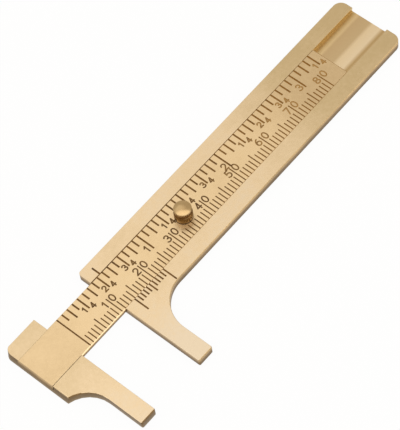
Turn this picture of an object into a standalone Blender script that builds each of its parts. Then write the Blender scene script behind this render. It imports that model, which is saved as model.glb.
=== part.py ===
"""Brass pocket vernier caliper: a grooved body with a fixed jaw, and a graduated slide with a sliding jaw.

The caliper lies on its back. X runs along the slide, +Z comes out of the scale face, and the jaws
point to -Y. The origin is at the middle of the base of the whole caliper, set to its rest reading.
"""

import math

import bmesh
import bpy
from mathutils import Matrix, Vector

MM = 0.001
INCH = 25.4 * MM

# Body
STOCK_THICKNESS = 2.0 * MM
BODY_LENGTH = 87.7 * MM
UPPER_RAIL_WIDTH = 3.8 * MM
LOWER_RAIL_WIDTH = 4.2 * MM
FAR_CORNER_RADIUS = 2.1 * MM
NEAR_CORNER_RADIUS = 0.8 * MM

# Dovetail groove, and the slide that runs in it
GROOVE_OPENING = 9.6 * MM
GROOVE_DEPTH = 1.35 * MM
DOVETAIL_DROP = 0.22 * MM
DOVETAIL_UNDERCUT = 0.18 * MM
SLIDE_LENGTH = 96.9 * MM
SLIDE_THICKNESS = 1.2 * MM
SIDE_CLEARANCE = 0.06 * MM

# Jaws
JAW_WIDTH = 4.15 * MM
JAW_REACH = 15.9 * MM
JAW_TIP_RADIUS = 0.35 * MM
FIXED_JAW_FILLET = 8.2 * MM
SLIDING_JAW_FILLET = 7.0 * MM
HEAD_WIDTH = 9.45 * MM
HEAD_CORNER_RADIUS = 1.8 * MM
SOLDER_GAP = 0.03 * MM

# Thumb knob, riveted through the slide
KNOB_FROM_ZERO = 35.2 * MM
KNOB_DIAMETER = 4.15 * MM
KNOB_CAP_DIAMETER = 3.96 * MM
KNOB_HEIGHT = 3.6 * MM
KNOB_RIM_ROUNDING = 0.2 * MM
KNOB_DOME_SLOPE = math.radians(24)
KNOB_CAP_BAND = 0.12 * MM
KNOB_NECK_HEIGHT = 1.25 * MM
KNOB_NECK_DEPTH = 0.16 * MM
KNOB_FOOT_CHAMFER = 0.15 * MM
RIVET_DIAMETER = 1.6 * MM
RIVET_HEAD_DIAMETER = 2.5 * MM
RIVET_HEAD_DEPTH = 0.4 * MM
RIVET_CLEARANCE = 0.03 * MM

# Drag spring, in a pocket under the tail of the slide
SPRING_LENGTH = 8.6 * MM
SPRING_WIDTH = 3.2 * MM
SPRING_THICKNESS = 0.15 * MM
SPRING_CLEARANCE = 0.04 * MM
SPRING_POCKET_DEPTH = 0.3 * MM
SPRING_POCKET_MARGIN = 0.2 * MM
SPRING_POCKET_FROM_TAIL = 0.45 * MM

# Scales
READING = 13.75 * MM
ZERO_FROM_JAW = 2.8 * MM
MILLIMETRE_MARK_WIDTH = 0.28 * MM
SIXTEENTH_MARK_WIDTH = 0.4 * MM
VERNIER_MARK_WIDTH = 0.32 * MM
INDEX_MARK_WIDTH = 0.41 * MM
MARK_DEPTH = 0.06 * MM
MARK_RUNOUT = 0.12 * MM
MILLIMETRE_MARKS = 80
MILLIMETRE_MARK_LENGTHS = {10: 4.65 * MM, 5: 3.5 * MM, 1: 2.5 * MM}
SIXTEENTH_MARKS = 52
SIXTEENTH_MARK_LENGTHS = {16: 4.9 * MM, 4: 3.6 * MM, 2: 3.05 * MM, 1: 2.15 * MM}
VERNIER_DIVISIONS = 10
VERNIER_DIVISION = 0.9 * MM
VERNIER_MARK_LENGTHS = {10: 3.95 * MM, 5: 2.6 * MM, 1: 1.8 * MM}
INDEX_MARK_LENGTH = 2.3 * MM

# Facets
ARC_STEP = math.radians(7.5)
KNOB_SIDES = 40
SPRING_STEPS = 12
CUT_MARGIN = 1.0 * MM

BRASS = (0.80, 0.59, 0.36)
KNOB_BRASS = (0.70, 0.47, 0.25)
SPRING_BRONZE = (0.62, 0.38, 0.22)

# Places that follow from the sizes above, with the slide's zero mark at x = 0 and its middle at y = 0
top = STOCK_THICKNESS
groove_half = GROOVE_OPENING / 2
upper_edge = groove_half + UPPER_RAIL_WIDTH
lower_edge = -groove_half - LOWER_RAIL_WIDTH
jaw_tip = lower_edge - JAW_REACH
sliding_face = -ZERO_FROM_JAW
head_end = sliding_face - HEAD_WIDTH
fixed_face = sliding_face + READING
vernier_zero = fixed_face + ZERO_FROM_JAW
body_end = fixed_face + BODY_LENGTH
slide_tail = head_end + SLIDE_LENGTH
slide_underside = top - SLIDE_THICKNESS
groove_floor = top - GROOVE_DEPTH
slide_half = groove_half - SIDE_CLEARANCE
centre = Vector(((head_end + body_end) / 2, (upper_edge + jaw_tip) / 2, 0))


def clear_scene():
    for item in list(bpy.data.objects):
        bpy.data.objects.remove(item, do_unlink=True)


def metal(name, colour, roughness):
    material = bpy.data.materials.new(name)
    material.use_nodes = True
    shader = material.node_tree.nodes["Principled BSDF"]
    shader.inputs["Base Color"].default_value = (*colour, 1)
    shader.inputs["Metallic"].default_value = 1
    shader.inputs["Roughness"].default_value = roughness
    material.diffuse_color = (*colour, 1)
    return material


def add_object(name, mesh_data, material=None):
    mesh = bpy.data.meshes.new(name)
    bmesh.ops.recalc_face_normals(mesh_data, faces=mesh_data.faces)
    mesh_data.to_mesh(mesh)
    mesh_data.free()
    item = bpy.data.objects.new(name, mesh)
    bpy.context.collection.objects.link(item)
    if material:
        mesh.materials.append(material)
    return item


def corner(points, at, before, after, radius):
    """Appends the arc that rounds the corner at `at`, between the directions to its neighbours."""
    at, before, after = Vector(at), Vector(before), Vector(after)
    to_before = (before - at).normalized()
    to_after = (after - at).normalized()
    half_angle = to_before.angle(to_after) / 2
    middle = at + (to_before + to_after).normalized() * radius / math.sin(half_angle)
    start = at + to_before * radius / math.tan(half_angle) - middle
    turn = start.angle_signed(at + to_after * radius / math.tan(half_angle) - middle)
    steps = max(2, math.ceil(abs(turn) / ARC_STEP))
    for i in range(steps + 1):
        points.append(middle + Matrix.Rotation(-turn * i / steps, 2) @ start)


def rounded_outline(corners):
    """The closed outline through corners given as (x, y, radius); a radius of 0 stays sharp."""
    points = []
    for i, (x, y, radius) in enumerate(corners):
        before, after = corners[i - 1][:2], corners[(i + 1) % len(corners)][:2]
        if radius:
            corner(points, (x, y), before, after, radius)
        else:
            points.append(Vector((x, y)))
    return points


def plate(name, corners, thickness, material):
    """A flat plate of the outline, standing on z = 0."""
    data = bmesh.new()
    face = data.faces.new([data.verts.new((*point, 0)) for point in rounded_outline(corners)])
    raised = bmesh.ops.extrude_face_region(data, geom=[face])
    verts = [v for v in raised["geom"] if isinstance(v, bmesh.types.BMVert)]
    bmesh.ops.translate(data, vec=(0, 0, thickness), verts=verts)
    return add_object(name, data, material)


def bar(name, section, start, end, material=None):
    """A bar along X with the section given as (y, z) points."""
    data = bmesh.new()
    face = data.faces.new([data.verts.new((start, y, z)) for y, z in section])
    drawn = bmesh.ops.extrude_face_region(data, geom=[face])
    verts = [v for v in drawn["geom"] if isinstance(v, bmesh.types.BMVert)]
    bmesh.ops.translate(data, vec=(end - start, 0, 0), verts=verts)
    return add_object(name, data, material)


def turned(name, profile, sides, material=None):
    """A solid of revolution about Z; the profile runs up the outside as (radius, z), closed on the axis."""
    data = bmesh.new()
    bottom = data.verts.new((0, 0, profile[0][1]))
    rings = []
    for radius, z in profile:
        angles = (2 * math.pi * i / sides for i in range(sides))
        rings.append([data.verts.new((radius * math.cos(a), radius * math.sin(a), z)) for a in angles])
    crown = data.verts.new((0, 0, profile[-1][1]))
    for i in range(sides):
        j = (i + 1) % sides
        data.faces.new((bottom, rings[0][j], rings[0][i]))
        for low, high in zip(rings, rings[1:]):
            data.faces.new((low[i], low[j], high[j], high[i]))
        data.faces.new((crown, rings[-1][i], rings[-1][j]))
    item = add_object(name, data, material)
    item.data.shade_smooth()
    item.data.set_sharp_from_angle(angle=math.radians(35))
    return item


def box(data, low, high):
    size = [b - a for a, b in zip(low, high)]
    middle = [(a + b) / 2 for a, b in zip(low, high)]
    matrix = Matrix.Translation(middle) @ Matrix.Diagonal((*size, 1))
    bmesh.ops.create_cube(data, size=1, matrix=matrix)


def cut(item, cutter):
    cutter.hide_render = True
    cutter.display_type = "WIRE"
    modifier = item.modifiers.new(cutter.name, "BOOLEAN")
    modifier.operation = "DIFFERENCE"
    modifier.solver = "EXACT"
    modifier.object = cutter
    return modifier


def dovetail_section(opening_half, bottom, up_to):
    """Half-width `opening_half` at the top face, wider below the bevel, from `bottom` to `up_to`."""
    wide = opening_half + DOVETAIL_UNDERCUT
    shoulder = top - DOVETAIL_DROP
    section = [(-wide, bottom), (wide, bottom), (wide, shoulder), (opening_half, top)]
    if up_to > top:
        section += [(opening_half, up_to), (-opening_half, up_to)]
    return section + [(-opening_half, top), (-wide, shoulder)]


def mark_length(number, lengths):
    """The length of the first step that divides the number, the steps going from the coarsest down."""
    return next(length for step, length in lengths.items() if number % step == 0)


def marks(name, places, width):
    """Cutter for engraved marks of one width, each given as (x, y of one end, y of the other end)."""
    data = bmesh.new()
    for x, low_y, high_y in places:
        low = (x - width / 2, low_y, top - MARK_DEPTH)
        high = (x + width / 2, high_y, top + CUT_MARGIN)
        box(data, low, high)
    return add_object(name, data)


def make_body(material):
    body = plate(
        "body",
        [
            (fixed_face, jaw_tip, JAW_TIP_RADIUS),
            (fixed_face + JAW_WIDTH, jaw_tip, JAW_TIP_RADIUS),
            (fixed_face + JAW_WIDTH, lower_edge, FIXED_JAW_FILLET),
            (body_end, lower_edge, FAR_CORNER_RADIUS),
            (body_end, upper_edge, FAR_CORNER_RADIUS),
            (fixed_face, upper_edge, NEAR_CORNER_RADIUS),
        ],
        STOCK_THICKNESS,
        material,
    )
    section = dovetail_section(groove_half, groove_floor, top + CUT_MARGIN)
    cut(body, bar("body_groove_cutter", section, fixed_face - CUT_MARGIN, body_end + CUT_MARGIN))
    places = []
    for i in range(VERNIER_DIVISIONS + 1):
        length = mark_length(i, VERNIER_MARK_LENGTHS)
        places.append((vernier_zero + i * VERNIER_DIVISION, -groove_half - length, MARK_RUNOUT - groove_half))
    cut(body, marks("vernier_cutter", places, VERNIER_MARK_WIDTH))
    index = (vernier_zero, groove_half - MARK_RUNOUT, groove_half + INDEX_MARK_LENGTH)
    cut(body, marks("index_cutter", [index], INDEX_MARK_WIDTH))
    return body


def make_head(material):
    """The block that carries the sliding jaw, of the body's stock, with the slide let into its groove."""
    head = plate(
        "sliding_jaw",
        [
            (sliding_face, jaw_tip, JAW_TIP_RADIUS),
            (sliding_face, upper_edge, 0),
            (head_end, upper_edge, HEAD_CORNER_RADIUS),
            (head_end, lower_edge, 0),
            *fillet_run(),
            (sliding_face - JAW_WIDTH, jaw_tip, JAW_TIP_RADIUS),
        ],
        STOCK_THICKNESS,
        material,
    )
    floor = slide_underside - SOLDER_GAP
    section = dovetail_section(slide_half + SOLDER_GAP, floor, top + CUT_MARGIN)
    cut(head, bar("head_groove_cutter", section, head_end - CUT_MARGIN, sliding_face + CUT_MARGIN))
    return head


def fillet_run():
    """The hollow curve from the head's lower edge down to the back of the sliding jaw."""
    back = sliding_face - JAW_WIDTH
    middle = Vector((back - SLIDING_JAW_FILLET, lower_edge - SLIDING_JAW_FILLET))
    start = math.acos(min(1, (head_end - middle.x) / SLIDING_JAW_FILLET))
    steps = max(2, math.ceil(start / ARC_STEP))
    run = []
    for i in range(steps + 1):
        angle = start * (1 - i / steps)
        run.append((middle.x + SLIDING_JAW_FILLET * math.cos(angle), middle.y + SLIDING_JAW_FILLET * math.sin(angle), 0))
    return run[1:]


def make_slide(material):
    section = dovetail_section(slide_half, slide_underside, top)
    slide = bar("slide", section, head_end, slide_tail, material)
    hole = turned("rivet_hole_cutter", rivet_profile(RIVET_CLEARANCE, CUT_MARGIN), KNOB_SIDES)
    hole.location.x = KNOB_FROM_ZERO
    cut(slide, hole)
    pocket = bmesh.new()
    high_x = slide_tail - SPRING_POCKET_FROM_TAIL
    low_x = high_x - SPRING_LENGTH - 2 * SPRING_POCKET_MARGIN
    half_y = SPRING_WIDTH / 2 + SPRING_POCKET_MARGIN
    low = (low_x, -half_y, slide_underside - CUT_MARGIN)
    box(pocket, low, (high_x, half_y, slide_underside + SPRING_POCKET_DEPTH))
    cut(slide, add_object("spring_pocket_cutter", pocket))
    outer = slide_half + MARK_RUNOUT
    places = []
    for i in range(1, MILLIMETRE_MARKS + 1):
        places.append((i * MM, -outer, mark_length(i, MILLIMETRE_MARK_LENGTHS) - slide_half))
    cut(slide, marks("millimetre_cutter", places, MILLIMETRE_MARK_WIDTH))
    places = [(0, -outer, outer)]
    for i in range(1, SIXTEENTH_MARKS + 1):
        places.append((i * INCH / 16, slide_half - mark_length(i, SIXTEENTH_MARK_LENGTHS), outer))
    cut(slide, marks("sixteenth_cutter", places, SIXTEENTH_MARK_WIDTH))
    return slide


def rivet_profile(clearance, overrun):
    """The knob's shank and its head, closed in the countersink under the slide, as (radius, z)."""
    shank = RIVET_DIAMETER / 2 + clearance
    head = RIVET_HEAD_DIAMETER / 2 + clearance
    low = slide_underside + RIVET_CLEARANCE - clearance
    return [
        (head, low - overrun),
        (head, low),
        (shank, slide_underside + RIVET_HEAD_DEPTH + clearance),
        (shank, top + overrun),
    ]


def make_knob(material):
    """A flange at the foot, a hollow neck above it, and a domed cap a little narrower than the flange."""
    radius = KNOB_DIAMETER / 2
    cap = KNOB_CAP_DIAMETER / 2
    foot = top + RIVET_CLEARANCE
    rim = top + KNOB_HEIGHT - KNOB_RIM_ROUNDING - (cap - KNOB_RIM_ROUNDING) * math.tan(KNOB_DOME_SLOPE / 2)
    neck_low = rim - KNOB_CAP_BAND - KNOB_NECK_HEIGHT
    profile = rivet_profile(0, 0)[1:]
    profile += [(RIVET_DIAMETER / 2, foot), (radius - KNOB_FOOT_CHAMFER, foot), (radius, foot + KNOB_FOOT_CHAMFER)]
    for i in range(9):
        t = i / 8
        hollow = KNOB_NECK_DEPTH * math.sin(math.pi * t)
        profile.append((radius + (cap - radius) * t - hollow, neck_low + KNOB_NECK_HEIGHT * t))
    for i in range(4):
        angle = (math.pi / 2 - KNOB_DOME_SLOPE) * i / 4
        across = cap - KNOB_RIM_ROUNDING * (1 - math.cos(angle))
        profile.append((across, rim + KNOB_RIM_ROUNDING * math.sin(angle)))
    dome_radius = KNOB_RIM_ROUNDING + (cap - KNOB_RIM_ROUNDING) / math.sin(KNOB_DOME_SLOPE)
    for i in range(6):
        angle = KNOB_DOME_SLOPE * (1 - i / 6)
        profile.append((dome_radius * math.sin(angle), top + KNOB_HEIGHT - dome_radius * (1 - math.cos(angle))))
    profile.append((radius * 0.05, top + KNOB_HEIGHT))
    return turned("thumb_knob", profile, KNOB_SIDES, material)


def make_spring(material):
    """A bowed leaf: its ends bear on the pocket's roof and its middle on the groove's floor."""
    roof = slide_underside + SPRING_POCKET_DEPTH - SPRING_CLEARANCE
    low = groove_floor + SPRING_CLEARANCE
    rise = roof - SPRING_THICKNESS - low
    end_x = slide_tail - SPRING_POCKET_FROM_TAIL - SPRING_POCKET_MARGIN
    data = bmesh.new()
    rows = []
    for i in range(SPRING_STEPS + 1):
        t = i / SPRING_STEPS
        x = end_x - SPRING_LENGTH * (1 - t)
        z = low + rise * (2 * t - 1) ** 2
        half = SPRING_WIDTH / 2
        section = ((-half, z), (half, z), (half, z + SPRING_THICKNESS), (-half, z + SPRING_THICKNESS))
        rows.append([data.verts.new((x, y, level)) for y, level in section])
    for near, far in zip(rows, rows[1:]):
        for k in range(4):
            data.faces.new((near[k], near[(k + 1) % 4], far[(k + 1) % 4], far[k]))
    data.faces.new(rows[0])
    data.faces.new(reversed(rows[-1]))
    return add_object("drag_spring", data, material)


def group(name, items):
    """An empty at the reading's zero mark that carries the pieces and sets them about the caliper's origin."""
    empty = bpy.data.objects.new(name, None)
    empty.empty_display_size = 5 * MM
    bpy.context.collection.objects.link(empty)
    empty.location = -centre
    for item in items:
        item.parent = empty
    return empty


def main():
    clear_scene()
    brass = metal("satin_brass", BRASS, 0.34)
    knob_brass = metal("turned_brass", KNOB_BRASS, 0.25)
    bronze = metal("spring_bronze", SPRING_BRONZE, 0.35)
    body = make_body(brass)
    slide = make_slide(brass)
    head = make_head(brass)
    knob = make_knob(knob_brass)
    knob.location.x = KNOB_FROM_ZERO
    spring = make_spring(bronze)
    cutters = [item for item in bpy.data.objects if item.hide_render]
    body_cutters = [item for item in cutters if item.name in ("body_groove_cutter", "vernier_cutter", "index_cutter")]
    slide_cutters = [item for item in cutters if item not in body_cutters]
    group("body_frame", [body, *body_cutters])
    group("slide_frame", [slide, head, knob, spring, *slide_cutters])


main()
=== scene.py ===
"""A brass pocket vernier caliper on a white table, set to 13.75 mm."""

import math

import bmesh
import bpy
from mathutils import Matrix, Vector


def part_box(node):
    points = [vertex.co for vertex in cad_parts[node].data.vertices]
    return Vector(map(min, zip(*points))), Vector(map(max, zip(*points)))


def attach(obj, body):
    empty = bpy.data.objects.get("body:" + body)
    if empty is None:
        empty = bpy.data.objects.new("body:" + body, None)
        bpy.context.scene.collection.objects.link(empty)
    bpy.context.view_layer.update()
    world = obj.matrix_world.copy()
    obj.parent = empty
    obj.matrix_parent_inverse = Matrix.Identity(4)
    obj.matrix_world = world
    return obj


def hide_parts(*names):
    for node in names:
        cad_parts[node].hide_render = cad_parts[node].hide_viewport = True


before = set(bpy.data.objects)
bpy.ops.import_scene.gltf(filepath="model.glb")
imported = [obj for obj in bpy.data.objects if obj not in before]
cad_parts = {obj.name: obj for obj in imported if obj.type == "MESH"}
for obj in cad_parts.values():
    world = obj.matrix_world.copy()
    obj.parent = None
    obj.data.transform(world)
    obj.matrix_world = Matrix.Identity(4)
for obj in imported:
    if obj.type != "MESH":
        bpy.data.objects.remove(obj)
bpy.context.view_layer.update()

# Camera and table: the caliper lies on a white laminate table top and is seen from in front and
# above, through a long lens. A long soft box hangs over it, a weaker square one beyond it, and a
# low panel stands in front.
MM = 0.001
scene = bpy.context.scene
scene.view_settings.view_transform = "Standard"

lens = bpy.data.cameras.new("copy_lens")
lens.lens = 199.5
lens.sensor_width = 36
lens.clip_start = 0.01
camera = bpy.data.objects.new("camera", lens)
camera.location = (-176.96 * MM, -188.20 * MM, 434.09 * MM)
camera.rotation_euler = [math.radians(angle) for angle in (30.538, 4.912, -49.727)]
scene.collection.objects.link(camera)
scene.camera = camera


def linear(hex_colour):
    """An sRGB hex colour as linear red, green, blue and alpha."""
    values = [int(hex_colour[i : i + 2], 16) / 255 for i in (1, 3, 5)]
    return (*[v / 12.92 if v <= 0.04045 else ((v + 0.055) / 1.055) ** 2.4 for v in values], 1)


def add_node(tree, kind, inputs, **settings):
    """Adds a node, sets its properties, and sets or links its inputs."""
    made = tree.nodes.new(kind)
    for name, value in settings.items():
        setattr(made, name, value)
    for name, value in inputs.items():
        if isinstance(value, bpy.types.NodeSocket):
            tree.links.new(value, made.inputs[name])
        else:
            made.inputs[name].default_value = value
    return made


def new_material(name):
    material = bpy.data.materials.new(name)
    material.use_nodes = True
    material.node_tree.nodes.clear()
    return material, material.node_tree


# Matt white laminate: it shows white to the eye and in the brass, and keeps a trace of the shadow.
table_laminate, tree = new_material("white_table_laminate")
sight = add_node(tree, "ShaderNodeLightPath", {})
seen = add_node(
    tree,
    "ShaderNodeMath",
    {0: sight.outputs["Is Camera Ray"], 1: sight.outputs["Is Glossy Ray"]},
    operation="MAXIMUM",
)
seen = add_node(
    tree,
    "ShaderNodeMath",
    {0: seen.outputs[0], 1: sight.outputs["Is Transmission Ray"]},
    operation="MAXIMUM",
)
WHITE_SHARE = 0.95  # the rest stays matt and takes the shadow
share = add_node(tree, "ShaderNodeMath", {0: seen.outputs[0], 1: WHITE_SHARE}, operation="MULTIPLY")
matt = add_node(tree, "ShaderNodeBsdfDiffuse", {"Color": linear("#F2F1EE")})
white = add_node(tree, "ShaderNodeEmission", {"Color": (1, 1, 1, 1), "Strength": 1.0})
mixed = add_node(
    tree, "ShaderNodeMixShader", {0: share.outputs[0], 1: matt.outputs[0], 2: white.outputs[0]}
)
add_node(tree, "ShaderNodeOutputMaterial", {"Surface": mixed.outputs[0]})

TABLE_SIZE = 3.0
TABLE_GAP = 0.02 * MM
table_mesh = bpy.data.meshes.new("table")
table_data = bmesh.new()
bmesh.ops.create_grid(table_data, x_segments=2, y_segments=2, size=TABLE_SIZE / 2)
table_data.to_mesh(table_mesh)
table_data.free()
table = bpy.data.objects.new("table", table_mesh)
table.location.z = -TABLE_GAP
table_mesh.materials.append(table_laminate)
scene.collection.objects.link(table)

world = bpy.data.worlds.new("studio")
scene.world = world
world.use_nodes = True
world.node_tree.nodes["Background"].inputs["Color"].default_value = linear("#FFF4E1")
world.node_tree.nodes["Background"].inputs["Strength"].default_value = 0.72

# Each lamp's place in metres, tilt and azimuth in degrees, width and height in metres, brightness
for name, place, tilt, azimuth, width, height, brightness in (
    ("overhead_box", (-0.06, -0.02, 0.55), 0, -43, 0.86, 0.34, 1.15),
    ("main_box", (0.06, 0.34, 0.55), 0, 0, 0.50, 0.50, 0.38),
    ("low_panel", (0.30, -0.80, 0.24), 74, 21, 0.50, 0.25, 2.2),
):
    light = bpy.data.lights.new(name, "AREA")
    light.shape = "RECTANGLE"
    light.size = width
    light.size_y = height
    light.energy = brightness * math.pi * width * height
    lamp = bpy.data.objects.new(name, light)
    lamp.location = place
    lamp.rotation_euler = (math.radians(tilt), 0, math.radians(azimuth))
    scene.collection.objects.link(lamp)

# Body: one piece of rolled brass bar, milled with a dovetail groove from end to end. The fixed jaw
# is sawn and milled from the same bar. Its vernier and its inch index are cut in and filled dark.
STOCK_THICKNESS = 2.0 * MM
UPPER_RAIL_WIDTH = 3.8 * MM
LOWER_RAIL_WIDTH = 4.2 * MM
FAR_CORNER_RADIUS = 2.1 * MM
NEAR_CORNER_RADIUS = 0.8 * MM
GROOVE_OPENING = 9.6 * MM
GROOVE_DEPTH = 1.35 * MM
DOVETAIL_DROP = 0.22 * MM
DOVETAIL_UNDERCUT = 0.18 * MM
JAW_WIDTH = 4.15 * MM
JAW_TIP_RADIUS = 0.35 * MM
FIXED_JAW_FILLET = 8.2 * MM
EDGE_ROUNDING = 0.07 * MM
WORN_ROUNDING = 0.2 * MM
EDGE_STEPS = 4
ARC_STEP = math.radians(3)
CUT_MARGIN = 1.0 * MM

VERNIER_MARK_WIDTH = 0.37 * MM
INDEX_MARK_WIDTH = 0.41 * MM
MARK_DEPTH = 0.06 * MM
MARK_RUNOUT = 0.12 * MM
ZERO_FROM_JAW = 2.8 * MM
VERNIER_DIVISIONS = 10
VERNIER_DIVISION = 0.9 * MM
VERNIER_MARK_LENGTHS = {10: 3.95 * MM, 5: 2.6 * MM, 1: 1.8 * MM}
INDEX_MARK_LENGTH = 2.3 * MM
SEAM_SHADE_WIDTHS = (0.17 * MM, 0.03 * MM)

body_low, body_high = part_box("body")
slide_low, slide_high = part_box("slide")
top = body_high.z
middle_y = (slide_low.y + slide_high.y) / 2
groove_half = GROOVE_OPENING / 2
upper_edge = middle_y + groove_half + UPPER_RAIL_WIDTH
lower_edge = middle_y - groove_half - LOWER_RAIL_WIDTH
jaw_tip = body_low.y
fixed_face = body_low.x
body_end = body_high.x
vernier_zero = fixed_face + ZERO_FROM_JAW


def place_in_mm(tree):
    """The object's own coordinates in millimetres, as one vector and as its three values."""
    place = add_node(tree, "ShaderNodeTexCoord", {})
    inputs = {0: place.outputs["Object"], "Scale": 1 / MM}
    scaled = add_node(tree, "ShaderNodeVectorMath", inputs, operation="SCALE")
    axes = add_node(tree, "ShaderNodeSeparateXYZ", {0: scaled.outputs[0]})
    return scaled.outputs[0], axes.outputs


def stretched(tree, vector, scales):
    made = add_node(tree, "ShaderNodeVectorMath", {0: vector, 1: scales}, operation="MULTIPLY")
    return made.outputs[0]


def noise(tree, vector, scale, detail, roughness=0.5):
    inputs = {"Vector": vector, "Scale": scale, "Detail": detail, "Roughness": roughness}
    return add_node(tree, "ShaderNodeTexNoise", inputs).outputs["Fac"]


def spread(tree, value, start, end, low, high, kind="LINEAR"):
    """Maps the value's run from start to end onto low to high, and holds it there beyond."""
    inputs = {"Value": value, "From Min": start, "From Max": end, "To Min": low, "To Max": high}
    return add_node(tree, "ShaderNodeMapRange", inputs, interpolation_type=kind).outputs[0]


def combined(tree, operation, first, second):
    return add_node(tree, "ShaderNodeMath", {0: first, 1: second}, operation=operation).outputs[0]


def ramp(tree, factor, tones):
    """The colour at the factor along tones, which are (position, colour) in rising order."""
    made = add_node(tree, "ShaderNodeValToRGB", {0: factor})
    stops = made.color_ramp.elements
    stops.remove(stops[-1])
    stops[0].position = tones[0][0]
    stops[0].color = linear(tones[0][1])
    for position, hex_colour in tones[1:]:
        stops.new(position).color = linear(hex_colour)
    return made.outputs["Color"]


def blended(tree, share, first, second, blend_type="MIX"):
    """Blends two colours by a mix node, whose colour sockets are 6 and 7 and, coming out, 2."""
    inputs = {0: share, 6: first, 7: second}
    made = add_node(tree, "ShaderNodeMix", inputs, data_type="RGBA", blend_type=blend_type)
    return made.outputs[2]


def finish_metal(tree, colour, roughness, height, strength, depth_mm):
    """Ends the tree in bare metal, whose fine relief has this depth and follows height."""
    relief = add_node(
        tree, "ShaderNodeBump", {"Height": height, "Strength": strength, "Distance": depth_mm * MM}
    )
    shader = add_node(
        tree,
        "ShaderNodeBsdfPrincipled",
        {
            "Base Color": colour,
            "Metallic": 1.0,
            "Roughness": roughness,
            "Normal": relief.outputs[0],
        },
    )
    add_node(tree, "ShaderNodeOutputMaterial", {"Surface": shader.outputs[0]})


def brass(name, tones, roughness, line_pitch_mm, line_length_mm, line_depth_mm):
    """Brass with fine lines along X, in drifts of tone from pale to deep. Painted light and shade:
    it is painted paler toward the jaws and deeper toward the far end and the head."""
    material, tree = new_material(name)
    place, axes = place_in_mm(tree)
    line_scales = (1 / line_length_mm, 1 / line_pitch_mm, 1 / line_pitch_mm)
    lines = noise(tree, stretched(tree, place, line_scales), 1.0, 2.0, 0.6)
    clouds = noise(tree, place, 0.11, 3.0, 0.55)
    specks = noise(tree, place, 1.3, 4.0, 0.6)
    depth = spread(tree, clouds, 0.32, 0.68, 0.2, 0.45)
    # Painted light and shade: paler toward the jaws, deeper toward the far end and the head; the
    # specks are random tone.
    for change in (
        spread(tree, axes["X"], 12, 36, 0, 0.65, "SMOOTHSTEP"),  # the far end
        spread(tree, axes["X"], -38, -47, 0, 0.26, "SMOOTHSTEP"),  # the head
        spread(tree, axes["Y"], -12, 3, -0.35, 0, "SMOOTHSTEP"),  # the jaws
        spread(tree, specks, 0.35, 0.75, -0.07, 0.14),
    ):
        depth = combined(tree, "ADD", depth, change)
    colour = ramp(tree, depth, list(zip((0, 0.35, 1), tones)))
    gloss = spread(tree, lines, 0.25, 0.75, roughness - 0.05, roughness + 0.07)
    finish_metal(tree, colour, gloss, lines, 0.5, line_depth_mm)
    return material


# Rolled brass bar, wiped along its length with fine emery: satin, with soft broad reflections.
# Emery's lines are finer than a picture shows, so they are drawn 0.16 mm apart. The finish is its
# roughness, and its lines' pitch, length and depth in mm.
EMERY_FINISH = (0.31, 0.16, 7.0, 0.004)
satin_brass = brass("rolled_satin_brass", ("#E3D3BB", "#E5CFAD", "#CDB78F"), *EMERY_FINISH)


def milled_edge(name, tones):
    """Sawn and milled brass, tarnished and darkened by painted shade; tones are (share of height,
    colour) up its side.
    """
    material, tree = new_material(name)
    place, axes = place_in_mm(tree)
    tarnish = ramp(tree, spread(tree, axes["Z"], 0, STOCK_THICKNESS / MM, 0, 1), tones)
    drifts = spread(tree, noise(tree, place, 0.13, 2.0), 0.35, 0.65, 1.1, 0.85)
    grain = noise(tree, place, 2.2, 4.0)
    tone = combined(tree, "MULTIPLY", drifts, spread(tree, grain, 0.3, 0.7, 1.05, 0.92))
    colour = add_node(tree, "ShaderNodeVectorMath", {0: tarnish, "Scale": tone}, operation="SCALE")
    finish_metal(tree, colour.outputs[0], 0.45, grain, 0.5, 0.01)
    return material


# Edges of the body and the slide: tarnish with painted shade, darkest at the foot and lighter
# toward the face.
milled_edge_brass = milled_edge(
    "tarnish_and_shade_milled_brass",
    (
        (0.05, "#7A6342"),
        (0.45, "#8F7450"),
        (0.60, "#9C8058"),
        (0.74, "#B3966B"),
        (0.87, "#CEB083"),
        (0.965, "#BFA378"),
        (1.0, "#D8BE93"),
    ),
)

# The groove as its milling cutter left it, dull gold. Its floor is lighter in one broad strip;
# beside that strip, toward the lower rail, lies a thin darker line, painted shadow of the lower
# rail. Its tones run across it, in mm from its middle.
GROOVE_TONES = (
    (-4.10, "#C4A97E"),
    (-3.90, "#B99E72"),
    (-3.70, "#C4A97E"),
    (-2.90, "#E8D5B6"),
    (-0.90, "#E5D0AD"),
    (-0.10, "#CBB38C"),
    (2.70, "#C9AF87"),
    (3.30, "#DCC397"),
    (4.10, "#CDB383"),
    (4.50, "#CBAF7C"),
    (4.75, "#D6BC8A"),
)
groove_brass_painted_shadow, tree = new_material("groove_brass_painted_shadow")
place, axes = place_in_mm(tree)
middle_mm, half_mm = middle_y / MM, groove_half / MM
across = spread(tree, axes["Y"], middle_mm - half_mm, middle_mm + half_mm, 0, 1)
bands = ramp(
    tree, across, [((y_mm + half_mm) / (2 * half_mm), colour) for y_mm, colour in GROOVE_TONES]
)
scratches = noise(tree, stretched(tree, place, (0.12, 3.0, 3.0)), 1.0, 3.0)
finish_metal(tree, bands, spread(tree, scratches, 0.3, 0.7, 0.33, 0.43), scratches, 0.4, 0.006)


def filling(name, full_hex, worn_hex, wear_at_jaws, wear_at_tail):
    """Matt dark wax and tarnish in a cut. Brass shows through it in spots, which wear enlarges."""
    material, tree = new_material(name)
    place, axes = place_in_mm(tree)
    worn = spread(tree, axes["X"], -10, 35, wear_at_jaws, wear_at_tail, "SMOOTHSTEP")
    thin = combined(tree, "ADD", noise(tree, place, 0.9, 2.0), worn)
    colour = blended(tree, thin, linear(full_hex), linear(worn_hex))
    inputs = {"Base Color": colour, "Metallic": 0.3, "Roughness": 0.6}
    shader = add_node(tree, "ShaderNodeBsdfPrincipled", inputs)
    add_node(tree, "ShaderNodeOutputMaterial", {"Surface": shader.outputs[0]})
    return material
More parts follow.
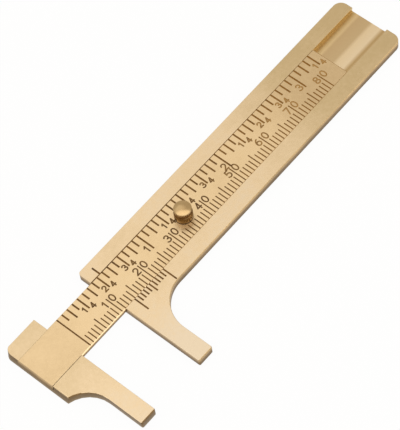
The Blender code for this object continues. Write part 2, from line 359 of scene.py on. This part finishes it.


# Filling of the engraved lines: dark wax, gone browner toward the tail. The same material paints
# shade in the seam above the slide and along the slide's tail end.
mark_fill_and_shade = filling("dark_fill_and_painted_shade", "#3C2504", "#8C611C", 0.0, 0.5)


def new_object(name, data, materials):
    bmesh.ops.recalc_face_normals(data, faces=data.faces)
    mesh = bpy.data.meshes.new(name)
    data.to_mesh(mesh)
    data.free()
    item = bpy.data.objects.new(name, mesh)
    scene.collection.objects.link(item)
    for material in materials:
        mesh.materials.append(material)
    return item


def rounded_outline(corners):
    """The outline through (x, y, radius) corners, each rounded by its radius, and sharp at 0."""
    points = []
    for i, (x, y, radius) in enumerate(corners):
        at = Vector((x, y))
        if not radius:
            points.append(at)
            continue
        to_before = (Vector(corners[i - 1][:2]) - at).normalized()
        to_after = (Vector(corners[(i + 1) % len(corners)][:2]) - at).normalized()
        half_angle = to_before.angle(to_after) / 2
        middle = at + (to_before + to_after).normalized() * radius / math.sin(half_angle)
        start = at + to_before * radius / math.tan(half_angle) - middle
        turn = start.angle_signed(at + to_after * radius / math.tan(half_angle) - middle)
        steps = math.ceil(abs(turn) / ARC_STEP)
        points += [middle + Matrix.Rotation(-turn * k / steps, 2) @ start for k in range(steps + 1)]
    return points


def rounded_plate(name, outline, worn, materials):
    """A plate of the stock. Its top edges are rounded a little, and the ones facing -Y by worn."""
    data = bmesh.new()
    rings = [[data.verts.new((*at, 0)) for at in outline]]
    for step in range(EDGE_STEPS + 1):
        slope = math.pi / 2 * step / EDGE_STEPS
        rings.append([])
        for i, at in enumerate(outline):
            way_in = (at - outline[i - 1]).normalized()
            way_out = (outline[(i + 1) % len(outline)] - at).normalized()
            along = (way_in + way_out) / (1 + way_in.dot(way_out))
            outward = Vector((along.y, -along.x))
            rounding = EDGE_ROUNDING + (worn - EDGE_ROUNDING) * min(1, max(0, -outward.y))
            inset = at - outward * rounding * (1 - math.cos(slope))
            rings[-1].append(data.verts.new((*inset, top - rounding * (1 - math.sin(slope)))))
    for low, high in zip(rings, rings[1:]):
        for i in range(len(outline)):
            data.faces.new((low[i - 1], low[i], high[i], high[i - 1]))
    data.faces.new(rings[0])
    data.faces.new(rings[-1])
    return new_object(name, data, materials)


def quarter_round(radius):
    """The (y, z) points of a small rounding that turns from upright to level at the face."""
    slopes = [math.pi / 2 * step / EDGE_STEPS for step in range(EDGE_STEPS + 1)]
    return [(radius * math.cos(slope), top - radius * (1 - math.sin(slope))) for slope in slopes]


def drawn_solid(name, corners, shift, materials):
    """The closed outline of 3-D corners, drawn out by shift into a solid."""
    data = bmesh.new()
    face = data.faces.new([data.verts.new(corner) for corner in corners])
    made = bmesh.ops.extrude_face_region(data, geom=[face])
    verts = [v for v in made["geom"] if isinstance(v, bmesh.types.BMVert)]
    bmesh.ops.translate(data, vec=shift, verts=verts)
    return new_object(name, data, materials)


def dovetail_section(opening_half, bottom, lip):
    """The (y, z) corners of a section of the groove or the slide, wide below its bevel."""
    wide = opening_half + DOVETAIL_UNDERCUT
    half = [(wide, bottom), (wide, top - DOVETAIL_DROP), *lip]
    return [(middle_y + y, z) for y, z in half + [(-y, z) for y, z in half[::-1]]]


CUT_TRIES = 4
CUT_SHIFT = 0.0001 * MM


def cut_away(item, cutter):
    """Cuts the cutter out of the piece; the new faces take the cutter's material. The piece has to
    come out closed, so a cut that leaves it open is made again with the cutter moved by a hair."""
    uncut = item.data
    for _ in range(CUT_TRIES):
        modifier = item.modifiers.new("cut", "BOOLEAN")
        modifier.operation = "DIFFERENCE"
        modifier.solver = "EXACT"
        modifier.material_mode = "TRANSFER"
        modifier.object = cutter
        settle(item)
        if is_closed(item.data):
            break
        item.data = uncut
        cutter.data.transform(Matrix.Translation((CUT_SHIFT, CUT_SHIFT, CUT_SHIFT)))
        cutter.data.update()
    else:
        raise RuntimeError(f"{cutter.name} doesn't cut {item.name}")
    bpy.data.objects.remove(cutter)


def is_closed(mesh):
    data = bmesh.new()
    data.from_mesh(mesh)
    closed = len(data.faces) > 0 and all(edge.is_manifold for edge in data.edges)
    data.free()
    return closed


def settle(item):
    """Turns the piece's modifiers into its mesh."""
    bpy.context.view_layer.update()
    graph = bpy.context.evaluated_depsgraph_get()
    done = bpy.data.meshes.new_from_object(item.evaluated_get(graph))
    item.modifiers.clear()
    item.data = done


def smooth_shading(item, sharp_angle=30):
    """Shades curved faces smooth and keeps the flat faces flat."""
    item.data.shade_smooth()
    item.data.set_sharp_from_angle(angle=math.radians(sharp_angle))
    item.modifiers.new("flat_faces", "WEIGHTED_NORMAL").keep_sharp = True


# Limits for one part of a face's unit normal
UPRIGHT = 0.4
NEARLY_LEVEL = 0.995
FACING_FRONT = -0.15


def tarnish_sides(item):
    """Gives the outer sides the piece's second material, the milled edge's tarnish and painted
    shade. In front, where hands have worn the edge round, it runs over the rounding up to the face,
    where its painted shade dims the rounding's highlight."""
    groove_reach = groove_half + DOVETAIL_UNDERCUT + EDGE_ROUNDING
    for face in item.data.polygons:
        in_groove = abs(face.center.y - middle_y) < groove_reach and abs(face.normal.y) > UPRIGHT
        highest = NEARLY_LEVEL if face.normal.y < FACING_FRONT else UPRIGHT
        if -UPRIGHT < face.normal.z < highest and not in_groove:
            face.material_index = 1


def box_cutter(data, low, high):
    size = [b - a for a, b in zip(low, high)]
    at = [(a + b) / 2 for a, b in zip(low, high)]
    bmesh.ops.create_cube(data, size=1, matrix=Matrix.Translation(at) @ Matrix.Diagonal((*size, 1)))


def mark_cutter(*rows):
    """Engraved lines; each row is a width and its lines, as (x, y of one end, y of the other)."""
    data = bmesh.new()
    for width, places in rows:
        for x, low_y, high_y in places:
            low = (x - width / 2, low_y, top - MARK_DEPTH)
            box_cutter(data, low, (x + width / 2, high_y, top + CUT_MARGIN))
    return new_object("marks", data, [mark_fill_and_shade])


def mark_length(number, lengths):
    return next(length for step, length in lengths.items() if number % step == 0)


body_outline = rounded_outline(
    [
        (fixed_face, jaw_tip, JAW_TIP_RADIUS),
        (fixed_face + JAW_WIDTH, jaw_tip, JAW_TIP_RADIUS),
        (fixed_face + JAW_WIDTH, lower_edge, FIXED_JAW_FILLET),
        (body_end, lower_edge, FAR_CORNER_RADIUS),
        (body_end, upper_edge, FAR_CORNER_RADIUS),
        (fixed_face, upper_edge, NEAR_CORNER_RADIUS),
    ]
)
plate_metals = [satin_brass, milled_edge_brass, groove_brass_painted_shadow, mark_fill_and_shade]
body = rounded_plate("grooved_body", body_outline, WORN_ROUNDING, plate_metals)
lip = [(groove_half + EDGE_ROUNDING - y, z) for y, z in quarter_round(EDGE_ROUNDING)]
lip.append((groove_half + EDGE_ROUNDING, top + CUT_MARGIN))
groove_section = dovetail_section(groove_half, top - GROOVE_DEPTH, lip)
groove_corners = [(fixed_face - CUT_MARGIN, *p) for p in groove_section]
groove_run = (body_end - fixed_face + 2 * CUT_MARGIN, 0, 0)
cut_away(body, drawn_solid("groove", groove_corners, groove_run, [groove_brass_painted_shadow]))
tarnish_sides(body)
groove_low = middle_y - groove_half
groove_high = middle_y + groove_half
vernier = []
for i in range(VERNIER_DIVISIONS + 1):
    line_end = groove_low - mark_length(i, VERNIER_MARK_LENGTHS)
    vernier.append((vernier_zero + i * VERNIER_DIVISION, line_end, groove_low + MARK_RUNOUT))
index = (vernier_zero, groove_high - MARK_RUNOUT, groove_high + INDEX_MARK_LENGTH)
cut_away(body, mark_cutter((VERNIER_MARK_WIDTH, vernier), (INDEX_MARK_WIDTH, [index])))
# Painted shade darkens the lip in the seam above the slide, narrower toward the tail.
near, far = fixed_face - CUT_MARGIN, slide_high.x
near_high, far_high = (groove_high + width for width in SEAM_SHADE_WIDTHS)
painted_seam_shade = [(near, groove_high), (far, groove_high), (far, far_high), (near, near_high)]
painted_seam_shade = [(*at, top - MARK_DEPTH) for at in painted_seam_shade]
lip_run = (0, 0, MARK_DEPTH + CUT_MARGIN)
cut_away(body, drawn_solid("painted_seam_shade", painted_seam_shade, lip_run, [mark_fill_and_shade]))
smooth_shading(body)
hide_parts("body")
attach(body, "rule")

# Slide: a brass bar with bevelled edges, a sliding fit in the groove. Both scales and their
# numerals are stamped in its face and filled dark: millimetres along one edge, sixteenths of an
# inch along the other.
INCH_MM = 25.4
MILLIMETRES = 80
SIXTEENTHS = 52
MILLIMETRE_MARK_WIDTH = 0.28 * MM
SIXTEENTH_MARK_WIDTH = 0.40 * MM
ZERO_LINE_WIDTH = 0.34 * MM
SLIDE_THICKNESS = 1.2 * MM
SIDE_CLEARANCE = 0.06 * MM
MILLIMETRE_MARK_LENGTHS = {10: 4.65 * MM, 5: 3.5 * MM, 1: 2.5 * MM}
SIXTEENTH_MARK_LENGTHS = {16: 4.9 * MM, 4: 3.6 * MM, 2: 3.05 * MM, 1: 2.15 * MM}
NUMERAL_STROKE = 0.33 * MM
NUMERAL_DEPTH = 0.05 * MM
STROKE_STEP = 0.004 * MM
SLIDE_EDGE_ROUNDING = 0.03 * MM
TAIL_SHADE_WIDTH = 0.2 * MM
RIVET_DIAMETER = 1.6 * MM
RIVET_HEAD_DIAMETER = 2.5 * MM
RIVET_HEAD_DEPTH = 0.4 * MM
RIVET_CLEARANCE = 0.03 * MM
RIVET_HOLE_SIDES = 48
SPRING_POCKET_DEPTH = 0.3 * MM
SPRING_POCKET_MARGIN = 0.2 * MM
END_LEAN = 0.42 * MM
END_RUNOUT = 1.5 * MM

head_low, head_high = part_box("sliding_jaw")
knob_low, knob_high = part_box("thumb_knob")
spring_low, spring_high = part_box("drag_spring")
zero = head_high.x + ZERO_FROM_JAW
slide_half = groove_half - SIDE_CLEARANCE
underside = top - SLIDE_THICKNESS
knob_at = (knob_low + knob_high) / 2


CURVE_STEP = 15  # degrees
FEWEST_STEPS = 4


def curve(cx, cy, rx, ry, start, end):
    """Points along an ellipse's arc between two angles in degrees."""
    steps = max(FEWEST_STEPS, math.ceil(abs(end - start) / CURVE_STEP))
    angles = [math.radians(start + (end - start) * i / steps) for i in range(steps + 1)]
    return [(cx + rx * math.cos(a), cy + ry * math.sin(a)) for a in angles]


# Each numeral is one, two or three strokes in a space 0.62 wide and 1 high.
NUMERAL_MIDDLE = 0.31
NUMERAL_STROKES = 3
NUMERALS = {
    "0": [curve(0.31, 0.5, 0.30, 0.5, 90, 450)],
    "1": [[(0.36, 0), (0.36, 1)], [(0.36, 0.98), (0.12, 0.76)]],
    "2": [curve(0.31, 0.70, 0.29, 0.30, 165, -35) + [(0.03, 0.03)], [(0.0, 0.0), (0.62, 0.0)]],
    "3": [curve(0.29, 0.75, 0.27, 0.25, 150, -90), curve(0.29, 0.26, 0.32, 0.26, 90, -150)],
    "4": [[(0.45, 1.0), (0.02, 0.30)], [(0.0, 0.28), (0.66, 0.28)], [(0.46, 1.0), (0.46, 0.0)]],
    "5": [[(0.58, 1.0), (0.12, 1.0), (0.08, 0.55)], curve(0.28, 0.32, 0.33, 0.32, 125, -145)],
    "6": [curve(0.31, 0.31, 0.30, 0.31, 90, 450), curve(0.56, 0.36, 0.55, 0.64, 100, 178)],
    "7": [[(0.0, 1.0), (0.62, 1.0)], [(0.60, 0.98), (0.20, 0.0)]],
    "8": [curve(0.31, 0.75, 0.25, 0.25, 90, 450), curve(0.31, 0.26, 0.30, 0.26, 90, 450)],
}


SHARPEST_MITRE = 0.5
CAP_TURNS = (60, 30, 0, -30, -60)  # degrees


def stroke(data, path, depth):
    """A round-ended groove of the stamp's width along the path, as a closed upright solid."""
    closed = (Vector(path[0]) - Vector(path[-1])).length < NUMERAL_STROKE / 10
    points = [Vector(p) for p in (path[:-1] if closed else path)]
    radius = NUMERAL_STROKE / 2
    count = len(points)
    sides = ([], [])
    for i, at in enumerate(points):
        before = points[i - 1] if closed or i else None
        after = points[(i + 1) % count] if closed or i < count - 1 else None
        ways = [(at - before).normalized()] if before else []
        ways += [(after - at).normalized()] if after else []
        way = sum(ways, Vector((0, 0))).normalized()
        normal = Vector((-way.y, way.x))
        reach = radius / max(SHARPEST_MITRE, normal.dot(Vector((-ways[0].y, ways[0].x))))
        sides[0].append(at + normal * reach)
        sides[1].append(at - normal * reach)
    low, high = top - depth, top + CUT_MARGIN

    def upright(loop):
        return [(data.verts.new((*p, low)), data.verts.new((*p, high))) for p in loop]

    if closed:
        outer, inner = (upright(side) for side in sides)
        for i in range(count):
            (a, a2), (b, b2) = outer[i], outer[(i + 1) % count]
            (c, c2), (d, d2) = inner[i], inner[(i + 1) % count]
            for corners in ((a, b, b2, a2), (d, c, c2, d2), (a, c, d, b), (a2, b2, d2, c2)):
                data.faces.new(corners)
        return
    caps = []
    for end, way in ((points[-1], points[-1] - points[-2]), (points[0], points[0] - points[1])):
        facing = math.atan2(way.y, way.x)
        turns = [facing + math.radians(angle) for angle in CAP_TURNS]
        caps.append([end + radius * Vector((math.cos(a), math.sin(a))) for a in turns])
    loop = upright(sides[0] + caps[0] + sides[1][::-1] + caps[1])
    data.faces.new([pair[0] for pair in loop])
    data.faces.new([pair[1] for pair in loop])
    for (a, a2), (b, b2) in zip(loop, loop[1:] + loop[:1]):
        data.faces.new((a, b, b2, a2))


# Where a numeral stands, in mm: its middle from its line, its foot from the slide's middle, and its
# height. Numbers of two digits stand astride their line, as fractions do.
TEN_PLACE = (-1.15, -1.78, 1.70)
NOUGHT_PLACE = (1.10, -1.78, 1.70)
INCH_PLACE = (-1.10, 0.10, 1.65)
FRACTION_TOP_PLACE = (-0.98, 0.98, 1.36)
FRACTION_FOOT_PLACE = (0.98, 0.42, 1.36)
metric, inches = [], []
for ten in range(1, MILLIMETRES // 10 + 1):
    metric += [(str(ten), ten * 10, TEN_PLACE), ("0", ten * 10, NOUGHT_PLACE)]
for quarter in range(1, SIXTEENTHS // 4 + 1):
    line_mm = quarter * INCH_MM / 4
    if quarter % 4 == 0:
        inches.append((str(quarter // 4), line_mm, INCH_PLACE))
    else:
        inches.append((str(quarter % 4), line_mm, FRACTION_TOP_PLACE))
        inches.append(("4", line_mm, FRACTION_FOOT_PLACE))


def file_end(item):
    """Leans the end away from the jaws back toward its top, as it was filed by hand."""
    for vertex in item.data.vertices:
        near_end = max(0, 1 - (vertex.co.x - head_low.x) / END_RUNOUT)
        vertex.co.x += END_LEAN * near_end * vertex.co.z / STOCK_THICKNESS


# The slide's bar is a deeper gold than the body's, with the same satin finish.
slide_brass = brass("rolled_golden_brass", ("#E6D0AB", "#E5CCA4", "#CFB68F"), *EMERY_FINISH)
slide_metals = [slide_brass, *plate_metals[1:]]
slide_lip = [
    (slide_half - SLIDE_EDGE_ROUNDING + y, z) for y, z in quarter_round(SLIDE_EDGE_ROUNDING)
]
slide_section = dovetail_section(slide_half, underside, slide_lip)
slide_corners = [(slide_low.x, *p) for p in slide_section]
slide_run = (slide_high.x - slide_low.x, 0, 0)
slide = drawn_solid("graduated_slide", slide_corners, slide_run, slide_metals)
file_end(slide)
# Its upright sides and both ends are milled and take the edges' tarnish and painted shade; the
# bevels keep the bar's finish.
for face in slide.data.polygons:
    if abs(face.normal.z) < UPRIGHT:
        face.material_index = 1


def turned(name, profile, sides, materials):
    """A solid of revolution about the knob's axis; its profile runs up it as (radius, z)."""
    data = bmesh.new()
    rings = []
    for radius, z in profile:
        angles = [2 * math.pi * i / sides for i in range(sides)]
        around = [(radius * math.cos(angle), radius * math.sin(angle)) for angle in angles]
        rings.append([data.verts.new((knob_at.x + x, knob_at.y + y, z)) for x, y in around])
    for low, high in zip(rings, rings[1:]):
        for i in range(sides):
            j = (i + 1) % sides
            data.faces.new((low[i], low[j], high[j], high[i]))
    data.faces.new(rings[0])
    data.faces.new(rings[-1])
    return new_object(name, data, materials)


def rivet_profile(clearance, overrun):
    """The knob's shank, and its head closed in the countersink under the slide."""
    shank = RIVET_DIAMETER / 2 + clearance
    head = RIVET_HEAD_DIAMETER / 2 + clearance
    foot = underside + RIVET_CLEARANCE - clearance
    return [
        (head, foot - overrun),
        (head, foot),
        (shank, underside + RIVET_HEAD_DEPTH + clearance),
        (shank, top + overrun),
    ]


hole_profile = rivet_profile(RIVET_CLEARANCE, CUT_MARGIN)
cut_away(slide, turned("rivet_hole", hole_profile, RIVET_HOLE_SIDES, [slide_brass]))
pocket = bmesh.new()
margin = SPRING_POCKET_MARGIN
pocket_low = (spring_low.x - margin, spring_low.y - margin, underside - CUT_MARGIN)
pocket_high = (spring_high.x + margin, spring_high.y + margin, underside + SPRING_POCKET_DEPTH)
box_cutter(pocket, pocket_low, pocket_high)
cut_away(slide, new_object("spring_pocket", pocket, [slide_brass]))

edge_low, edge_high = middle_y - slide_half, middle_y + slide_half
outer_low, outer_high = edge_low - MARK_RUNOUT, edge_high + MARK_RUNOUT
millimetres = [
    (zero + i * MM, outer_low, edge_low + mark_length(i, MILLIMETRE_MARK_LENGTHS))
    for i in range(1, MILLIMETRES + 1)
]
sixteenths = [
    (zero + i * INCH_MM / 16 * MM, edge_high - mark_length(i, SIXTEENTH_MARK_LENGTHS), outer_high)
    for i in range(1, SIXTEENTHS + 1)
]
zero_line = (zero, outer_low, outer_high)
# A strip of painted shade darkens the slide's face along its tail end, cut in like a line.
tail_painted_shade = (slide_high.x, outer_low, outer_high)
cut_away(
    slide,
    mark_cutter(
        (ZERO_LINE_WIDTH, [zero_line]),
        (SIXTEENTH_MARK_WIDTH, sixteenths),
        (MILLIMETRE_MARK_WIDTH, millimetres),
        (TAIL_SHADE_WIDTH, [tail_painted_shade]),
    ),
)
# Filling of the numerals, worn thinner than the lines' toward the tail.
numeral_filling = filling("worn_numeral_filling", "#4A2E0C", "#A98248", -0.25, 0.5)


def numeral_cutter(numerals, turn):
    """One stroke of each numeral. Strokes that cross are cut in turn, each a little deeper."""
    data = bmesh.new()
    for text, line_mm, (from_line, foot_y, height) in numerals:
        at_x = line_mm + from_line
        for path in NUMERALS[text][turn : turn + 1]:
            in_place = [
                (
                    zero + (at_x + (x - NUMERAL_MIDDLE) * height) * MM,
                    middle_y + (foot_y + y * height) * MM,
                )
                for x, y in path
            ]
            stroke(data, in_place, NUMERAL_DEPTH + turn * STROKE_STEP)
    return new_object("numeral_strokes", data, [numeral_filling])


for numerals in (metric, inches):
    for turn in range(NUMERAL_STROKES):
        cut_away(slide, numeral_cutter(numerals, turn))
smooth_shading(slide)
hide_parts("slide")
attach(slide, "slider")

# Sliding jaw: a block of the body's own bar. The end of the slide lies in its groove and is soft
# soldered there, flush on the face, so only two hairlines show.
SLIDING_JAW_FILLET = 7.0 * MM
HEAD_CORNER_RADIUS = 1.8 * MM
HEAD_WORN_ROUNDING = 0.3 * MM
TIGHT_SEAM = 0.008 * MM
OPEN_SEAM = 0.15 * MM

back = head_high.x - JAW_WIDTH
curl = Vector((back - SLIDING_JAW_FILLET, lower_edge - SLIDING_JAW_FILLET))
curl_start = math.degrees(math.acos((head_low.x - curl.x) / SLIDING_JAW_FILLET))
hollow = curve(curl.x, curl.y, SLIDING_JAW_FILLET, SLIDING_JAW_FILLET, curl_start, 0)
head_outline = rounded_outline(
    [
        (head_high.x, jaw_tip, JAW_TIP_RADIUS),
        (head_high.x, upper_edge, 0),
        (head_low.x, upper_edge, HEAD_CORNER_RADIUS),
        *[(*p, 0) for p in hollow],
        (back, jaw_tip, JAW_TIP_RADIUS),
    ]
)
# Edges of this block: brown tarnish with painted shade, dark up to the face, and a little lighter
# at the foot.
brown_shaded_edge_brass = milled_edge(
    "brown_shaded_milled_brass",
    ((0.0, "#A08C70"), (0.35, "#8A7456"), (0.8, "#826948"), (1.0, "#8F7552")),
)
head_metals = [satin_brass, brown_shaded_edge_brass]
head = rounded_plate("sliding_jaw_block", head_outline, HEAD_WORN_ROUNDING, head_metals)
seam_shift = (TIGHT_SEAM - OPEN_SEAM) / 2
seam_half = slide_half + (TIGHT_SEAM + OPEN_SEAM) / 2
recess_lip = [(seam_half, top), (seam_half, top + CUT_MARGIN)]
recess_section = dovetail_section(seam_half, underside - TIGHT_SEAM, recess_lip)
recess_corners = [(head_low.x - CUT_MARGIN, y + seam_shift, z) for y, z in recess_section]
recess_run = (head_high.x - head_low.x + 2 * CUT_MARGIN, 0, 0)
file_end(head)
tarnish_sides(head)
cut_away(head, drawn_solid("recess", recess_corners, recess_run, [brown_shaded_edge_brass]))
smooth_shading(head)
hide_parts("sliding_jaw")
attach(head, "slider")

# Thumb knob: turned from brass rod, with a flange at its foot, a hollow neck and a domed cap, and
# riveted through the slide.
KNOB_CAP_DIAMETER = 3.96 * MM
KNOB_RIM_ROUNDING = 0.2 * MM
KNOB_DOME_SLOPE = math.radians(24)
KNOB_CAP_BAND = 0.12 * MM
KNOB_NECK_HEIGHT = 1.25 * MM
KNOB_NECK_DEPTH = 0.16 * MM
KNOB_FOOT_CHAMFER = 0.15 * MM
KNOB_TIP_SHARE = 0.02  # of the knob's radius
KNOB_SIDES = 96
NECK_STEPS, RIM_STEPS, DOME_STEPS = 16, 8, 20

radius = (knob_high.x - knob_low.x) / 2
cap = KNOB_CAP_DIAMETER / 2
foot = top + RIVET_CLEARANCE
rim = knob_high.z - KNOB_RIM_ROUNDING - (cap - KNOB_RIM_ROUNDING) * math.tan(KNOB_DOME_SLOPE / 2)
neck_low = rim - KNOB_CAP_BAND - KNOB_NECK_HEIGHT

# Brass rod off the lathe: bronze brown from handling, glossy, with feed rings about its axis. The
# rings are drawn 0.12 mm apart, a little coarser than a finishing cut leaves, so that they show.
RING_PITCH_MM = 0.12
turned_brass, tree = new_material("turned_handled_brass")
place, axes = place_in_mm(tree)
axis_mm = (knob_at.x / MM, knob_at.y / MM, 0)
from_axis = add_node(tree, "ShaderNodeVectorMath", {0: place, 1: axis_mm}, operation="SUBTRACT")
flat_way = stretched(tree, from_axis.outputs[0], (1, 1, 0))
radial = add_node(tree, "ShaderNodeVectorMath", {0: flat_way}, operation="LENGTH").outputs["Value"]
outline_length = combined(tree, "ADD", radial, axes["Z"])
ring_phase = combined(tree, "MULTIPLY", outline_length, 2 * math.pi / RING_PITCH_MM)
rings = add_node(tree, "ShaderNodeMath", {0: ring_phase}, operation="SINE").outputs[0]
tone = blended(tree, noise(tree, place, 0.5, 3.0), linear("#D2B98E"), linear("#B29468"))
# The dome keeps the rod's tone; below it, painted shade darkens the flange and the neck, and a
# painted shadow darkens the corner at the foot. These tones run up the knob from the slide's face,
# in mm.
KNOB_TONES = (
    (0.10, "#5E4C38"),
    (0.45, "#C8C0B4"),
    (1.60, "#C2B8A8"),
    (2.00, "#A69884"),
    (2.80, "#A08E78"),
    (3.15, "#FFFFFF"),
)
knob_height = (knob_high.z - top) / MM
knob_shade_place = spread(tree, axes["Z"], top / MM, knob_high.z / MM, 0, 1)
knob_shade_tones = ramp(tree, knob_shade_place, [(z_mm / knob_height, colour) for z_mm, colour in KNOB_TONES])
tone = blended(tree, 1.0, tone, knob_shade_tones, "MULTIPLY")
finish_metal(tree, tone, 0.24, rings, 0.25, 0.002)

profile = rivet_profile(0, 0)[1:]
profile += [(RIVET_DIAMETER / 2, foot), (radius - KNOB_FOOT_CHAMFER, foot)]
profile.append((radius, foot + KNOB_FOOT_CHAMFER))
for i in range(NECK_STEPS + 1):
    share = i / NECK_STEPS
    neck_cut = KNOB_NECK_DEPTH * math.sin(math.pi * share)
    neck_radius = radius + (cap - radius) * share - neck_cut
    profile.append((neck_radius, neck_low + KNOB_NECK_HEIGHT * share))
for i in range(RIM_STEPS):
    angle = (math.pi / 2 - KNOB_DOME_SLOPE) * i / RIM_STEPS
    rim_radius = cap - KNOB_RIM_ROUNDING * (1 - math.cos(angle))
    profile.append((rim_radius, rim + KNOB_RIM_ROUNDING * math.sin(angle)))
dome_radius = KNOB_RIM_ROUNDING + (cap - KNOB_RIM_ROUNDING) / math.sin(KNOB_DOME_SLOPE)
for i in range(DOME_STEPS):
    angle = KNOB_DOME_SLOPE * (1 - i / DOME_STEPS)
    drop = dome_radius * (1 - math.cos(angle))
    profile.append((dome_radius * math.sin(angle), knob_high.z - drop))
profile.append((radius * KNOB_TIP_SHARE, knob_high.z))
knob = turned("turned_thumb_knob", profile, KNOB_SIDES, [turned_brass])
smooth_shading(knob, sharp_angle=40)
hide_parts("thumb_knob")
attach(knob, "slider")

# Drag spring: a bowed leaf of phosphor bronze strip, hidden in its pocket under the slide's tail.
# The modelled leaf stays as it is and takes the strip's finish.
STRIP_FINISH = (0.32, 0.08, 3.0, 0.002)
spring_bronze = brass("rolled_spring_bronze", ("#C6926A", "#B88258", "#9A6A44"), *STRIP_FINISH)
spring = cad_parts["drag_spring"]
for slot in spring.material_slots:
    slot.material = spring_bronze
